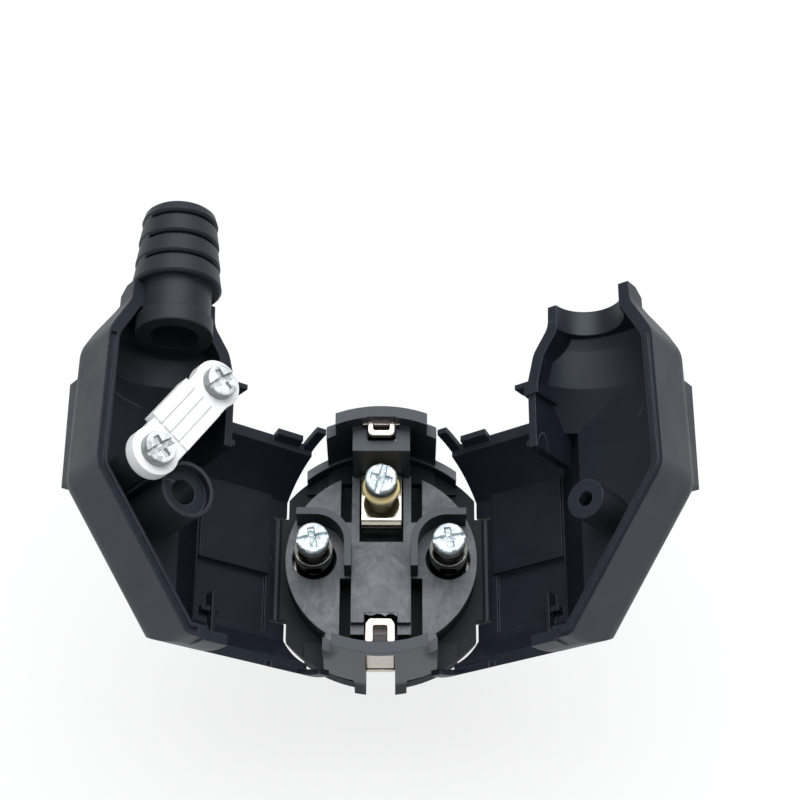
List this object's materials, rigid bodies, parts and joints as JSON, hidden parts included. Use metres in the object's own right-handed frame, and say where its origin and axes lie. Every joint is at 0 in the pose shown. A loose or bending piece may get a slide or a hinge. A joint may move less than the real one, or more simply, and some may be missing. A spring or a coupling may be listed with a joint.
{
  "type": "schuko plug",
  "caption": "Rewireable angled earthed mains plug lying open: round contact carrier with pins and terminals, hinged half shells, ribbed cord sleeve and cord clamp.",
  "frame": {"origin": "centre of the front face that meets the socket, midway between the pins", "axes": "pins point along -Z, the cord outlet points along +Y, the pins lie apart along X"},
  "size_m": [0.0824, 0.059, 0.0542],
  "materials": {
    "shell_plastic": "fine matt moulded skin",
    "carrier_plastic": "satin moulded",
    "sleeve_rubber": "soft matt",
    "clamp_plastic": "smooth moulded",
    "zinc": "bright zinc plated",
    "nickel": "nickel plated",
    "brass": "bare, slightly dull"
  },
  "bodies": {
    "carrier": {"contact_carrier": "carrier_plastic", "live_pin": "nickel", "neutral_pin": "nickel", "live_terminal_screw": "zinc", "neutral_terminal_screw": "zinc", "earth_contact_upper": "nickel", "earth_contact_lower": "nickel", "earth_link": "brass", "earth_terminal_bush": "brass", "earth_terminal_screw": "zinc"},
    "left_half": {"left_shell": "shell_plastic", "bend_sleeve": "sleeve_rubber", "cord_clamp": "clamp_plastic", "clamp_screw_upper": "zinc", "clamp_screw_lower": "zinc"},
    "right_half": {"right_shell": "shell_plastic"}
  },
  "joints": [
    {"name": "left_hinge", "type": "hinge", "parent": "carrier", "child": "left_half", "pos_m": [-0.0145, 0, 0.00095], "axis": [0, 1, 0], "range_deg": [0, 54]},
    {"name": "right_hinge", "type": "hinge", "parent": "carrier", "child": "right_half", "pos_m": [0.0145, 0, 0.00095], "axis": [0, -1, 0], "range_deg": [0, 54]}
  ]
}
